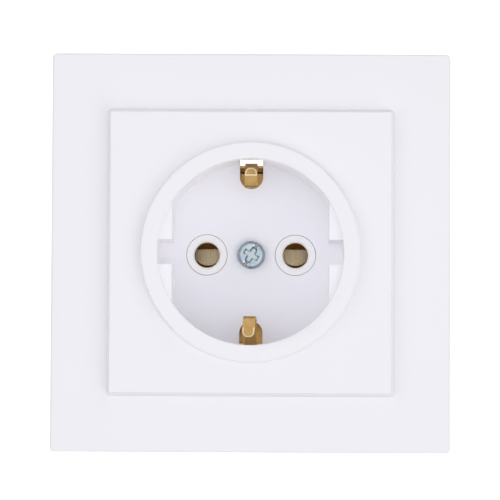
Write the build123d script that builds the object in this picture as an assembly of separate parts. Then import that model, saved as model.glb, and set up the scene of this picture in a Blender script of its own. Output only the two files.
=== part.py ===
from build123d import *
import os
from math import atan, degrees, sqrt

# Flush wall socket for two round pins with side earth springs.
# Millimetres. The wall plane is y = 0, the front of the socket faces -Y and +Z is up.
# The origin is the socket's centre on the wall plane.

# Cover frame
frame_side = 84.0
frame_depth = 9.0
frame_wall = 1.8
frame_front_wall = 1.8
frame_corner_radius = 0.9
frame_edge_radius = 0.5
frame_skirt_wall = 1.5
frame_ledge = 1.9
frame_rib_thickness = 1.2
frame_rib_pitch = 20.0
frame_rib_clearance = 0.6

# Centre plate
plate_side = 60.4
plate_gap = 0.05
plate_corner_radius = 1.0
plate_rise = 2.6
plate_slope_run = 0.75
plate_wall = 1.8
plate_skirt_depth = 3.8
rim_diameter = 46.3
rim_rise = 2.0
rim_edge_radius = 0.5
rim_inner_radius = 0.25
plate_rib_thickness = 1.2
plate_rib_depth = 3.0

# Plug well
well_diameter = 39.0
well_depth = 17.5
well_wall = 2.0
well_floor = 2.0
guide_spacing = 33.0
guide_step = 0.8
guide_groove = 5.2
guide_bead = 0.35

# Pins and the collars round them
pin_pitch = 19.0
pin_hole_diameter = 5.5
pin_lead_in = 0.35
collar_diameter = 9.0
collar_gap = 0.06

# Earth spring slots in the well
earth_slot_width = 5.0
earth_slot_root = 14.2
earth_slot_room = 1.3
earth_slot_lip = 1.4

# Cover screw and its bush
screw_diameter = 3.0
screw_head_diameter = 5.9
screw_head_height = 1.7
screw_dome_radius = 0.7
screw_length = 14.0
screw_tip_chamfer = 0.4
screw_slot_width = 0.77
screw_slot_depth = 0.8
screw_slot_angle = 59.0
cross_span = 3.5
cross_width = 1.15
cross_depth = 1.3
screw_clearance = 0.2
thread_clearance = 0.05
bush_diameter = 5.6
bush_height = 8.4
bush_neck_diameter = 4.0
bush_neck_end = 0.4
bush_edge = 0.4

# Support ring
ring_side = 71.0
ring_thickness = 1.0
ring_corner_cut = 7.0
ring_gap = 0.9
box_screw_pitch = 60.0
box_slot_width = 3.5
box_slot_length = 4.9
box_head_room = 8.6
box_head_height = 3.2
lug_width = 5.0
lug_offset = 9.0
lug_foot = 4.6
lug_rivet_gap = 0.2
lug_window_gap = 0.3

# Housing
housing_flat_height = 37.6
housing_back_room = 1.15
housing_back_wall = 2.5
housing_end_wall = 1.5
housing_end_cheek = 0.6
contact_cover_thickness = 2.0
ear_depth = 5.0
ear_margin = 2.3
ear_rivet_margin = 0.8
chamber_side_gap = 0.4
chamber_end_gap = 0.2
channel_side_gap = 0.4
cover_window_root = 13.6
core_depth = 15.0
core_wall = 1.6
core_rib = 1.4
wire_entry_diameter = 3.0
wire_entry_spacing = 4.2
wire_entry_lead = 0.4

# Rivets
rivet_well_gap = 1.2
rivet_shoulder_gap = 0.6
rivet_diameter = 2.5
rivet_bore = 1.3
rivet_head_diameter = 4.0
rivet_head_height = 0.8
rivet_clearance = 0.05

# Live contacts and their springs
contact_sheet = 0.7
contact_gap = 4.4
contact_waist = 3.5
contact_mouth = 5.9
contact_start = 0.6
contact_waist_depth = 2.6
contact_depth = 15.3
contact_width = 7.2
contact_wall_gap = 0.3
cradle_radius = 3.2
cradle_depth = 2.0
cradle_flare = 0.9
cradle_span = 100.0
tail_leaf_gap = 1.3
tail_height = 6.6
tail_length = 11.0
spring_sheet = 0.5
spring_width = 5.6
spring_gap = 0.05
spring_length = 10.6
contact_bend_radius = 0.55
spring_bend_radius = 0.4

# Terminal clamps and screws
clamp_wall = 1.5
clamp_side_wall = 1.2
clamp_side_gap = 0.3
clamp_length = 8.0
clamp_tail_gap = 0.1
clamp_wire_room = 2.6
clamp_back_gap = 1.7
clamp_edge = 0.4
terminal_screw_diameter = 3.5
terminal_head_diameter = 5.6
terminal_head_height = 1.9
terminal_head_gap = 0.1
terminal_wire_gap = 0.5
terminal_slot_width = 0.8
terminal_slot_depth = 0.9
terminal_head_edge = 0.3
terminal_window_gap = 0.4

# Earth bracket
earth_sheet = 0.5
earth_width = 7.6
earth_flat_gap = 0.1
earth_arm_front = 6.4
tongue_width = 2.6
tongue_straight_end = -0.6
upper_crest_reach = 13.25
lower_crest_reach = 12.8
crest_depth = 5.6
tip_bend_reach = 16.4
tip_bend_depth = 3.9
tip_reach = 17.9
tip_depth = 3.2
upper_tip_shift = 0.0
lower_tip_shift = -0.4
crest_bend_radius = 0.9
tongue_bend_radius = 1.5
tip_bend_radius = 0.6
arm_bend_radius = 0.6
channel_end = 21.1

# Earth terminal
earth_tail_length = 6.0
earth_screw_diameter = 3.5
earth_head_diameter = 5.6
earth_head_height = 1.9
earth_clamp_width = 9.4
earth_clamp_length = 5.6
earth_clamp_sheet = 1.2
earth_wire_room = 1.8
earth_clamp_foot = 1.1
earth_nut_side = 5.4
earth_nut_height = 2.2
earth_nut_gap = 0.1

# How far a cut runs past a face, and how far a rib runs into the wall that carries it
overcut = 1.0
root = 0.5

# Depths along y that follow from the sizes above
frame_front = -frame_depth
plate_face = frame_front - plate_rise
rim_front = plate_face - rim_rise
floor_front = rim_front + well_depth
floor_back = floor_front + well_floor
ledge_front = frame_front + plate_skirt_depth
cover_back = floor_back + contact_cover_thickness
lug_front = floor_back - ring_thickness
ear_back = cover_back + ear_depth
contact_front = cover_back + contact_start
contact_back = contact_front + contact_depth
chamber_end = contact_back + spring_gap + spring_sheet + housing_back_room
housing_back = chamber_end + housing_back_wall

# Reaches from the socket's axis that follow from the sizes above
well_radius = well_diameter / 2
tube_radius = well_radius + well_wall
ring_radius = tube_radius + ring_gap
opening_side = plate_side + 2 * plate_gap
skirt_side = opening_side + 2 * frame_skirt_wall
ledge_side = opening_side - 2 * frame_ledge
pin_x = pin_pitch / 2
contact_inner = pin_x - contact_width / 2
chamber_inner = contact_inner - contact_wall_gap
clamp_outer_face = contact_inner + contact_width + tail_leaf_gap
clamp_inner_x = clamp_outer_face + clamp_wall
tail_reach = clamp_inner_x + clamp_tail_gap + contact_sheet
clamp_wall_x = tail_reach + clamp_wire_room
chamber_outer = clamp_wall_x + clamp_wall + chamber_end_gap
housing_end_length = 2 * (chamber_outer + housing_end_wall)
clamp_window_height = tail_height + 2 * clamp_side_gap
clamp_height = clamp_window_height + 2 * clamp_side_wall
chamber_height = clamp_height + 2 * chamber_side_gap
housing_end_height = chamber_height + 2 * housing_end_cheek
rivet_circle_radius = tube_radius + rivet_well_gap + rivet_head_diameter / 2
rivet_x = sqrt(rivet_circle_radius ** 2 - lug_offset ** 2)
housing_shoulder_length = 2 * (rivet_x - rivet_head_diameter / 2 - rivet_shoulder_gap)
lug_reach = rivet_x + rivet_head_diameter / 2 + lug_rivet_gap + ring_thickness
housing_radius = rivet_circle_radius + ear_margin
ear_height = 2 * (lug_offset + rivet_head_diameter / 2 + ear_rivet_margin)
channel_width = earth_width + 2 * channel_side_gap
earth_reach = housing_flat_height / 2 + earth_flat_gap + earth_sheet
earth_slot_reach = earth_reach + earth_slot_room
terminal_window_diameter = terminal_head_diameter + 2 * terminal_window_gap


def facing(y):
    """Plane square to the wall's normal at depth y, whose normal points to the front."""
    return Plane(origin=(0, y, 0), x_dir=(1, 0, 0), z_dir=(0, -1, 0))


def slab(outline, front, back):
    """Solid of a front outline between two depths."""
    return extrude(facing(back) * outline, amount=back - front)


def rod(x, z, radius, front, back):
    """Round bar along y."""
    return slab(Pos(x, z) * Circle(radius), front, back)


def block(x0, x1, y0, y1, z0, z1):
    """Block between two corners."""
    return Pos((x0 + x1) / 2, (y0 + y1) / 2, (z0 + z1) / 2) * Box(x1 - x0, y1 - y0, z1 - z0)


def rounded_square(side, radius):
    return RectangleRounded(side, side, radius)


def strip_profile(points, radii, sheet):
    """Bent strip of sheet metal in the YZ plane, drawn along its middle."""
    path = FilletPolyline(*points, radius=radii)
    return trace(path, sheet)


def side_plane(x):
    """Plane of the side view at x: local x runs along +Y and local y along +Z."""
    return Plane(origin=(x, 0, 0), x_dir=(0, 1, 0), z_dir=(1, 0, 0))


def make_cover_frame():
    """Moulded frame: flat front, open back, a skirt and ledge that carry the plate."""
    body = slab(rounded_square(frame_side, frame_corner_radius), frame_front, 0)
    front_edges = body.faces().sort_by(Axis.Y)[0].edges()
    body = fillet(front_edges, frame_edge_radius)
    hollow_side = frame_side - 2 * frame_wall
    hollow = Rectangle(hollow_side, hollow_side) - Rectangle(skirt_side, skirt_side)
    body -= slab(hollow, frame_front + frame_front_wall, 0)
    body -= slab(rounded_square(opening_side, plate_corner_radius), frame_front, ledge_front)
    body -= slab(Rectangle(ledge_side, ledge_side), ledge_front, 0)
    body -= slab(Rectangle(skirt_side, skirt_side), -ring_thickness, 0)
    rib_back = -ring_thickness - frame_rib_clearance
    rib_start = skirt_side / 2
    rib_end = hollow_side / 2
    for turn in range(4):
        for step in (-1, 0, 1):
            offset = step * frame_rib_pitch
            rib = block(rib_start, rib_end, frame_front + frame_front_wall, rib_back,
                        offset - frame_rib_thickness / 2, offset + frame_rib_thickness / 2)
            body += Rot(0, 90 * turn, 0) * rib
    head_back = -ring_thickness - box_head_height
    for turn in range(4):
        notch = block(ledge_side / 2 - overcut, box_screw_pitch / 2 + box_head_room / 2, head_back, 0,
                      -box_head_room / 2, box_head_room / 2)
        body -= Rot(0, 90 * turn, 0) * notch
    return body


def make_centre_plate():
    """Moulded plate with sloping sides, raised rim and the plug well with its guides."""
    slope = degrees(atan(plate_slope_run / plate_rise))
    outline = rounded_square(plate_side, plate_corner_radius)
    body = extrude(facing(frame_front) * outline, amount=plate_rise, taper=slope)
    body += slab(outline, frame_front, ledge_front)
    inner_side = plate_side - 2 * plate_wall
    body -= slab(Rectangle(inner_side, inner_side), plate_face + plate_wall, ledge_front)
    for turn in range(8):
        rib = block(tube_radius - root, inner_side / 2 + root, plate_face + plate_wall,
                    plate_face + plate_wall + plate_rib_depth,
                    -plate_rib_thickness / 2, plate_rib_thickness / 2)
        body += Rot(0, 45 * turn, 0) * rib
    rim = rod(0, 0, rim_diameter / 2, rim_front, plate_face)
    rim_edge = rim.faces().sort_by(Axis.Y)[0].edges()
    body += fillet(rim_edge, rim_edge_radius)
    body += rod(0, 0, tube_radius, plate_face, floor_back)
    body -= rod(0, 0, well_radius, rim_front, floor_front)
    rim_face = body.faces().sort_by(Axis.Y)[0]
    body = fillet(rim_face.inner_wires()[0].edges(), rim_inner_radius)
    body += make_guides()
    for sign in (-1, 1):
        body -= rod(sign * pin_x, 0, collar_diameter / 2 + collar_gap, floor_front, floor_back)
        body -= make_earth_slot(sign)
    body -= rod(0, 0, screw_diameter / 2 + screw_clearance, floor_front, floor_back)
    return body


def make_guides():
    """The two flat guides at the sides of the well, each with its groove."""
    disc = Circle(well_radius + root)
    middle = Rectangle(guide_spacing, 2 * tube_radius)
    groove = Rectangle(2 * tube_radius, guide_groove)
    outline = disc - middle - groove
    guide_front = rim_front + guide_step
    bead = outline - Circle(well_radius - guide_bead)
    return slab(outline, guide_front, floor_front + root) + slab(bead, guide_front - guide_bead, guide_front)


def make_earth_slot(sign):
    """Slot through the well's floor and wall for one spring tongue."""
    centre = earth_slot_root + earth_slot_width / 2
    slot = Pos(0, sign * centre) * Circle(earth_slot_width / 2)
    slot += Pos(0, sign * (centre + earth_slot_reach) / 2) * Rectangle(earth_slot_width,
                                                                     earth_slot_reach - centre)
    return slab(slot, rim_front + earth_slot_lip, floor_back)


def make_cover_screw():
    """Pan-head screw that holds the centre plate, with a slot across a cross recess."""
    head = rod(0, 0, screw_head_diameter / 2, floor_front - screw_head_height, floor_front)
    head = fillet(head.faces().sort_by(Axis.Y)[0].edges(), screw_dome_radius)
    head_top = floor_front - screw_head_height
    slot = Rectangle(screw_head_diameter + overcut, screw_slot_width)
    head -= slab(Rot(0, 0, screw_slot_angle) * slot, head_top, head_top + screw_slot_depth)
    wings = Rectangle(cross_span, cross_width) + Rectangle(cross_width, cross_span)
    wings = Rot(0, 0, screw_slot_angle) * wings
    head -= slab(wings, head_top, head_top + cross_depth)
    shank_end = floor_front + screw_length
    shank = rod(0, 0, screw_diameter / 2, floor_front, shank_end)
    shank = chamfer(shank.faces().sort_by(Axis.Y)[-1].edges(), screw_tip_chamfer)
    return head + shank


def make_support_ring():
    """Pressed steel ring on the wall, with four lugs bent back to the housing."""
    outline = Rectangle(ring_side, ring_side)
    outline = chamfer(outline.vertices(), ring_corner_cut)
    outline -= Circle(ring_radius)
    for turn in range(4):
        slot = SlotOverall(box_slot_length, box_slot_width)
        outline -= Rot(0, 0, 90 * turn) * (Pos(box_screw_pitch / 2, 0) * slot)
    window_height = lug_width + 2 * lug_window_gap
    for x_sign in (-1, 1):
        for z_sign in (-1, 1):
            window = Rectangle(lug_reach - ring_thickness, window_height)
            place = Pos(x_sign * (lug_reach - ring_thickness) / 2, z_sign * lug_offset)
            outline -= place * window
    ring = slab(outline, -ring_thickness, 0)
    for x_sign in (-1, 1):
        for z_sign in (-1, 1):
            ring += make_lug(x_sign, z_sign)
    return ring


def make_lug(x_sign, z_sign):
    """One lug: a leg along y and a foot with its rivet hole."""
    outer = x_sign * lug_reach
    inner = x_sign * (lug_reach - ring_thickness)
    toe = x_sign * (lug_reach - lug_foot)
    low = z_sign * lug_offset - lug_width / 2
    high = z_sign * lug_offset + lug_width / 2
    leg = block(min(inner, outer), max(inner, outer), -ring_thickness, floor_back, low, high)
    foot = block(min(toe, outer), max(toe, outer), lug_front, floor_back, low, high)
    hole = rod(x_sign * rivet_x, z_sign * lug_offset, rivet_diameter / 2 + rivet_clearance,
               lug_front, floor_back)
    return leg + foot - hole


def housing_outline():
    """Round insert with flat top and bottom and narrower shoulders."""
    body = Rectangle(housing_shoulder_length, housing_flat_height)
    body += Rectangle(housing_end_length, housing_end_height)
    return body & Circle(housing_radius)


def ear_outline():
    """Widened outline that carries the four rivets."""
    ears = Rectangle(2 * (lug_reach - ring_thickness), ear_height)
    return (housing_outline() + ears) & Circle(housing_radius)


def rivet_holes(front, back):
    holes = Sketch()
    for x_sign in (-1, 1):
        for z_sign in (-1, 1):
            place = Pos(x_sign * rivet_x, z_sign * lug_offset)
            holes += place * Circle(rivet_diameter / 2 + rivet_clearance)
    return slab(holes, front, back)


def make_contact_cover():
    """Insulating cover over the contacts, with a collar round each pin hole."""
    cover = slab(ear_outline(), floor_back, cover_back)
    for sign in (-1, 1):
        cover += rod(sign * pin_x, 0, collar_diameter / 2, floor_front, floor_back)
    for sign in (-1, 1):
        hole = rod(sign * pin_x, 0, pin_hole_diameter / 2, floor_front, cover_back)
        lead = Pos(sign * pin_x, 0) * Circle(pin_hole_diameter / 2 + pin_lead_in)
        cone = extrude(facing(floor_front) * lead, amount=-pin_lead_in, taper=45)
        cover -= hole + cone
        reach = housing_flat_height / 2 + overcut
        cover -= block(-channel_width / 2, channel_width / 2, floor_back, cover_back,
                       min(sign * cover_window_root, sign * reach),
                       max(sign * cover_window_root, sign * reach))
    cover -= rod(0, 0, screw_diameter / 2 + screw_clearance, floor_back, cover_back)
    cover -= rivet_holes(floor_back, cover_back)
    return cover


def make_base_housing():
    """Moulded housing: two contact chambers, the earth channel and cored pockets."""
    body = slab(housing_outline(), cover_back, housing_back)
    body += slab(ear_outline(), cover_back, ear_back)
    body -= rivet_holes(cover_back, ear_back)
    channel_reach = housing_flat_height / 2 + overcut
    body -= block(-channel_width / 2, channel_width / 2, cover_back, channel_end,
                  -channel_reach, channel_reach)
    body -= rod(0, 0, bush_neck_diameter / 2 + screw_clearance, channel_end,
                channel_end + bush_neck_end + screw_clearance)
    for sign in (-1, 1):
        body -= block(min(sign * chamber_inner, sign * chamber_outer),
                      max(sign * chamber_inner, sign * chamber_outer),
                      cover_back, chamber_end, -chamber_height / 2, chamber_height / 2)
        body -= make_terminal_window(sign)
        for z_sign in (-1, 1):
            body -= make_wire_entry(sign, z_sign)
            body -= make_core(sign, z_sign)
    body -= make_earth_nut_pocket()
    return body


def make_terminal_window(sign):
    """Round window in the end wall for a terminal screw's head."""
    wall = housing_end_length / 2 - chamber_outer
    window = Cylinder(terminal_window_diameter / 2, wall + 2 * overcut, rotation=(0, 90, 0))
    return Pos(sign * (chamber_outer + wall / 2), clamp_middle_y(), 0) * window


def make_wire_entry(sign, z_sign):
    """Wire entry through the back wall, with a lead-in cone."""
    x = sign * (tail_reach + clamp_wire_room / 2)
    z = z_sign * wire_entry_spacing / 2
    entry = rod(x, z, wire_entry_diameter / 2, chamber_end, housing_back)
    mouth = Pos(x, z) * Circle(wire_entry_diameter / 2 + wire_entry_lead)
    entry += extrude(facing(housing_back) * mouth, amount=wire_entry_lead, taper=45)
    return entry


def make_core(sign, z_sign):
    """Two cored pockets with a rib between them, which keep the moulding's walls even."""
    low = chamber_height / 2 + core_wall
    high = housing_flat_height / 2 - core_wall
    inner = channel_width / 2 + core_wall
    outer = housing_shoulder_length / 2 - core_wall
    pocket = Rectangle(outer - inner, high - low)
    pocket = Pos(sign * (inner + outer) / 2, z_sign * (low + high) / 2) * pocket
    pocket = pocket & Circle(housing_radius - core_wall)
    pocket -= Pos(sign * (inner + outer) / 2, 0) * Rectangle(core_rib, housing_flat_height)
    return slab(pocket, housing_back - core_depth, housing_back)


def make_earth_nut_pocket():
    """Pocket in the bottom flat that holds the square nut."""
    half = earth_nut_side / 2 + earth_nut_gap
    middle = earth_screw_y()
    depth = earth_nut_height + screw_clearance
    bottom = -housing_flat_height / 2
    pocket = block(-half, half, middle - half, middle + half, bottom - overcut, bottom + depth)
    tip = Cylinder(earth_screw_diameter / 2 + screw_clearance, 2 * overcut)
    return pocket + Pos(0, middle, bottom + depth) * tip


def earth_screw_y():
    return channel_end + earth_tail_length / 2


def clamp_middle_y():
    return contact_back - contact_sheet - clamp_back_gap - clamp_length / 2


def make_rivet(x_sign, z_sign):
    """Tubular rivet through lug, contact cover and ear."""
    x = x_sign * rivet_x
    z = z_sign * lug_offset
    rivet = rod(x, z, rivet_diameter / 2, lug_front, ear_back)
    front = rod(x, z, rivet_head_diameter / 2, lug_front - rivet_head_height, lug_front)
    front = fillet(front.faces().sort_by(Axis.Y)[0].edges(), rivet_head_height / 2)
    back = rod(x, z, rivet_head_diameter / 2, ear_back, ear_back + rivet_head_height)
    back = fillet(back.faces().sort_by(Axis.Y)[-1].edges(), rivet_head_height / 2)
    bore = rod(x, z, rivet_bore / 2, lug_front - rivet_head_height, ear_back + rivet_head_height)
    return rivet + front + back - bore


def make_live_contact():
    """Right-hand brass contact: flat leaf, curved leaf, the plate behind the pin and the wire tail."""
    half = contact_sheet / 2
    back_middle = contact_back - half
    points = [(contact_front, contact_mouth / 2 + half),
              (contact_front + contact_waist_depth, contact_waist / 2 + half),
              (back_middle, contact_gap / 2 + half),
              (back_middle, 0)]
    profile = strip_profile(points, contact_bend_radius, contact_sheet)
    leaf = extrude(side_plane(pin_x) * profile, amount=contact_width / 2, both=True)
    plate = block(contact_inner, tail_reach, contact_back - contact_sheet, contact_back,
                  -contact_gap / 2, contact_gap / 2)
    tail = block(tail_reach - contact_sheet, tail_reach, contact_back - tail_length, contact_back,
                 -tail_height / 2, tail_height / 2)
    return leaf + plate + tail + make_cradle()


def make_cradle():
    """Lower leaf of the contact, curved round the pin and flared at its mouth."""
    middle = cradle_radius + contact_sheet / 2
    path = FilletPolyline((contact_front, -middle - cradle_flare),
                          (contact_front + contact_waist_depth, -middle),
                          (contact_back - contact_sheet / 2, -middle), radius=contact_bend_radius)
    profile = side_plane(0) * trace(path, contact_sheet)
    leaf = revolve(Rot(0, -cradle_span / 2, 0) * profile, axis=Axis.Y, revolution_arc=cradle_span)
    return Pos(pin_x, 0, cradle_radius - cradle_depth) * leaf


def make_contact_spring():
    """Right-hand steel clip that presses the leaves together."""
    reach = contact_gap / 2 + contact_sheet + spring_gap + spring_sheet / 2
    back = contact_back + spring_gap + spring_sheet / 2
    points = [(back - spring_length, reach), (back, reach), (back, -reach),
              (back - spring_length, -reach)]
    profile = strip_profile(points, spring_bend_radius, spring_sheet)
    return extrude(side_plane(pin_x) * profile, amount=spring_width / 2, both=True)


def make_terminal_clamp():
    """Right-hand brass cage round the tail, open along y."""
    middle = clamp_middle_y()
    cage = block(clamp_outer_face, clamp_wall_x + clamp_wall, middle - clamp_length / 2,
                 middle + clamp_length / 2, -clamp_height / 2, clamp_height / 2)
    cage = chamfer(cage.edges().filter_by(Axis.Y), clamp_edge)
    cage -= block(clamp_inner_x, clamp_wall_x, middle - clamp_length / 2,
                  middle + clamp_length / 2, -clamp_window_height / 2, clamp_window_height / 2)
    hole = Cylinder(terminal_screw_diameter / 2 + thread_clearance, clamp_wall, rotation=(0, 90, 0))
    return cage - Pos(clamp_wall_x + clamp_wall / 2, middle, 0) * hole


def slotted_screw(shank_diameter, shank_length, head_diameter, head_height):
    """Cheese-head screw along +Z, its head's underside at z = 0 and its shank below."""
    head = Pos(0, 0, head_height / 2) * Cylinder(head_diameter / 2, head_height)
    head = fillet(head.faces().sort_by(Axis.Z)[-1].edges(), terminal_head_edge)
    slot_z = head_height - terminal_slot_depth / 2
    head -= Pos(0, 0, slot_z) * Box(head_diameter, terminal_slot_width, terminal_slot_depth)
    shank = Pos(0, 0, -shank_length / 2) * Cylinder(shank_diameter / 2, shank_length)
    shank = chamfer(shank.faces().sort_by(Axis.Z)[0].edges(), screw_tip_chamfer)
    return head + shank


def make_terminal_screw():
    """Right-hand terminal screw, driven from the side of the housing."""
    head_x = clamp_wall_x + clamp_wall + terminal_head_gap
    shank_length = head_x - tail_reach - terminal_wire_gap
    screw = slotted_screw(terminal_screw_diameter, shank_length, terminal_head_diameter,
                          terminal_head_height)
    return Pos(head_x, clamp_middle_y(), 0) * (Rot(0, 90, 0) * screw)


def make_earth_bracket():
    """Folded brass strip: a bridge, two arms and a narrower spring tongue on each."""
    half = earth_sheet / 2
    bridge_y = channel_end - half
    reach = earth_reach - half
    points = [(earth_arm_front, reach), (bridge_y, reach), (bridge_y, -reach),
              (earth_arm_front, -reach)]
    arms = strip_profile(points, arm_bend_radius, earth_sheet)
    bracket = extrude(side_plane(0) * arms, amount=earth_width / 2, both=True)
    bracket += block(-earth_width / 2, earth_width / 2, bridge_y - half,
                     channel_end + earth_tail_length, -earth_reach, -earth_reach + earth_sheet)
    bracket += make_tongue(1, upper_crest_reach, upper_tip_shift)
    bracket += make_tongue(-1, lower_crest_reach, lower_tip_shift)
    bracket -= rod(0, 0, bush_neck_diameter / 2, bridge_y - half, channel_end)
    hole = Cylinder(earth_screw_diameter / 2 + screw_clearance, 2 * earth_sheet)
    bracket -= Pos(0, earth_screw_y(), -reach) * hole
    return bracket


def make_tongue(sign, crest_reach, tip_shift):
    """One spring tongue, from its arm over the crest to the rounded tip at the mouth of the well."""
    half = earth_sheet / 2
    reach = earth_reach - half
    crest_y = rim_front + crest_depth
    points = [(earth_arm_front + earth_sheet, sign * reach),
              (tongue_straight_end, sign * reach),
              (crest_y, sign * (crest_reach + half)),
              (rim_front + tip_bend_depth, sign * (tip_bend_reach + half)),
              (rim_front + tip_depth, sign * tip_reach)]
    radii = (tongue_bend_radius, crest_bend_radius, tip_bend_radius)
    profile = side_plane(0) * strip_profile(points, radii, earth_sheet)
    tongue = extrude(profile, amount=tongue_width, both=True)
    leg = Rectangle(tongue_width, 2 * earth_reach)
    tip_end = sign * (tip_reach - tongue_width / 2)
    tip_start = sign * (crest_reach - tongue_width)
    middle = (tip_shift / 2, (tip_start + tip_end) / 2)
    tip = SlotCenterPoint(middle, (tip_shift, tip_end), tongue_width)
    tongue_end = earth_arm_front + earth_sheet
    return (tongue & slab(leg, crest_y, tongue_end)) + (tongue & slab(tip, rim_front, crest_y))


def make_screw_bush():
    """Threaded brass bush with a riveted neck, for the cover screw."""
    bridge_front = channel_end - earth_sheet
    bush = rod(0, 0, bush_diameter / 2, bridge_front - bush_height, bridge_front)
    bush = chamfer(bush.faces().sort_by(Axis.Y)[0].edges(), bush_edge)
    bush += rod(0, 0, bush_neck_diameter / 2, bridge_front, channel_end + bush_neck_end)
    return bush - rod(0, 0, screw_diameter / 2 + thread_clearance, bridge_front - bush_height,
                      channel_end + bush_neck_end)


def make_earth_clamp():
    """Saddle that presses the wire on the bracket's tail."""
    top = -earth_reach
    middle = earth_screw_y()
    low = top - earth_wire_room - earth_clamp_sheet
    saddle = block(-earth_clamp_width / 2, earth_clamp_width / 2, middle - earth_clamp_length / 2,
                   middle + earth_clamp_length / 2, low, low + earth_clamp_sheet)
    for sign in (-1, 1):
        edge = sign * earth_clamp_width / 2
        inner = edge - sign * earth_clamp_foot
        saddle += block(min(edge, inner), max(edge, inner), middle - earth_clamp_length / 2,
                        middle + earth_clamp_length / 2, low, top)
    hole = Cylinder(earth_screw_diameter / 2 + screw_clearance, 4 * earth_clamp_sheet)
    return saddle - Pos(0, middle, low) * hole


def make_earth_screw():
    """Screw of the earth terminal, driven from below."""
    under_head = -earth_reach - earth_wire_room - earth_clamp_sheet
    nut_top = -housing_flat_height / 2 + earth_nut_height
    screw = slotted_screw(earth_screw_diameter, nut_top - under_head, earth_head_diameter,
                          earth_head_height)
    return Pos(0, earth_screw_y(), under_head) * (Rot(180, 0, 0) * screw)


def make_earth_nut():
    """Square nut held in the housing behind the bracket's tail."""
    bottom = -housing_flat_height / 2
    middle = earth_screw_y()
    half = earth_nut_side / 2
    nut = block(-half, half, middle - half, middle + half, bottom, bottom + earth_nut_height)
    hole = Cylinder(earth_screw_diameter / 2 + thread_clearance, 3 * earth_nut_height)
    return nut - Pos(0, middle, bottom) * hole


def mirrored(part):
    return mirror(part, about=Plane.YZ)


def main():
    os.makedirs("parts", exist_ok=True)
    parts = {
        "cover_frame": make_cover_frame(),
        "centre_plate": make_centre_plate(),
        "cover_screw": make_cover_screw(),
        "support_ring": make_support_ring(),
        "contact_cover": make_contact_cover(),
        "base_housing": make_base_housing(),
        "earth_bracket": make_earth_bracket(),
        "screw_bush": make_screw_bush(),
        "earth_clamp": make_earth_clamp(),
        "earth_screw": make_earth_screw(),
        "earth_nut": make_earth_nut(),
    }
    sides = {
        "live_contact": make_live_contact(),
        "contact_spring": make_contact_spring(),
        "terminal_clamp": make_terminal_clamp(),
        "terminal_screw": make_terminal_screw(),
    }
    for name, part in sides.items():
        parts[name + "_right"] = part
        parts[name + "_left"] = mirrored(part)
    for x_sign, side in ((-1, "left"), (1, "right")):
        for z_sign, level in ((-1, "lower"), (1, "upper")):
            parts["housing_rivet_" + level + "_" + side] = make_rivet(x_sign, z_sign)
    for name, part in parts.items():
        part.label = name
        export_step(part, "parts/" + name + ".step")
        print(name, len(part.solids()), round(part.volume, 1))


main()
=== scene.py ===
import bpy
import bmesh
import math
from mathutils import Matrix, Vector


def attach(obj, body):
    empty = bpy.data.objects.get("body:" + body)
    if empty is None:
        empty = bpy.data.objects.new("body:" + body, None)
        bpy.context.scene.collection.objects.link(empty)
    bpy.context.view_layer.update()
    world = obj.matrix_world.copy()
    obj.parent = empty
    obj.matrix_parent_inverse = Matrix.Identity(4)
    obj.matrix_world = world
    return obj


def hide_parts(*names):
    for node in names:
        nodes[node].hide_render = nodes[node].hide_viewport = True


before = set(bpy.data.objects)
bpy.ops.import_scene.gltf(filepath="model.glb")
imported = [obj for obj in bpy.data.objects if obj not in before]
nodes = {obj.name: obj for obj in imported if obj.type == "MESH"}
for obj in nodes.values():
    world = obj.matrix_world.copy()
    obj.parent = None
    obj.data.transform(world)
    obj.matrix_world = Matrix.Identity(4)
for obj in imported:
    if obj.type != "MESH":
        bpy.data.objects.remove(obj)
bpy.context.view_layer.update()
scene = bpy.context.scene
print("frame loaded:", len(nodes), "nodes")

mm = 0.001


# Small helpers

def toLinear(hexColour):
    channels = [int(hexColour[i:i + 2], 16) / 255 for i in (1, 3, 5)]
    return tuple(c / 12.92 if c <= 0.04045 else ((c + 0.055) / 1.055) ** 2.4 for c in channels) + (1.0,)


def addNode(tree, kind, links=None, **settings):
    # settings are node properties or inputs by name; links give an input an output or a number
    node = tree.nodes.new(kind)
    for name, value in settings.items():
        if hasattr(node, name):
            setattr(node, name, value)
        else:
            node.inputs[name.replace("_", " ")].default_value = value
    for name, output in (links or {}).items():
        socket = node.inputs[int(name) if name.isdigit() else name]
        if isinstance(output, bpy.types.NodeSocket):
            tree.links.new(output, socket)
        else:
            socket.default_value = output
    return node


def newMaterial(name):
    material = bpy.data.materials.new(name)
    material.use_nodes = True
    tree = material.node_tree
    tree.nodes.clear()
    output = tree.nodes.new("ShaderNodeOutputMaterial")
    return material, tree, output


def perMm(spacing):
    # Noise scale that gives features about this many millimetres apart in Object coordinates
    return 1.0 / (spacing * mm)


# Camera, set from the photograph's own vanishing point and the 19 mm between the pin holes
viewpoint = {
    "placeMm": (5.73, -627.2, -26.1),
    "yawDeg": 0.544,
    "pitchDeg": 2.468,
    "rollDeg": -0.295,
    "lensMm": 211.7,
    "sensorMm": 36.0,
}


def makeCamera(v):
    data = bpy.data.cameras.new("photoCamera")
    data.lens = v["lensMm"]
    data.sensor_width = v["sensorMm"]
    data.clip_start = 0.02
    data.clip_end = 20.0
    camera = bpy.data.objects.new("photoCamera", data)
    scene.collection.objects.link(camera)
    turn = (Matrix.Rotation(math.radians(v["yawDeg"]), 4, "Z")
            @ Matrix.Rotation(math.radians(v["pitchDeg"]), 4, "X")
            @ Matrix.Rotation(math.radians(v["rollDeg"]), 4, "Y")
            @ Matrix.Rotation(math.radians(90), 4, "X"))
    camera.matrix_world = Matrix.Translation(Vector(v["placeMm"]) * mm) @ turn
    scene.camera = camera


makeCamera(viewpoint)
print("camera set")


# Materials

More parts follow.
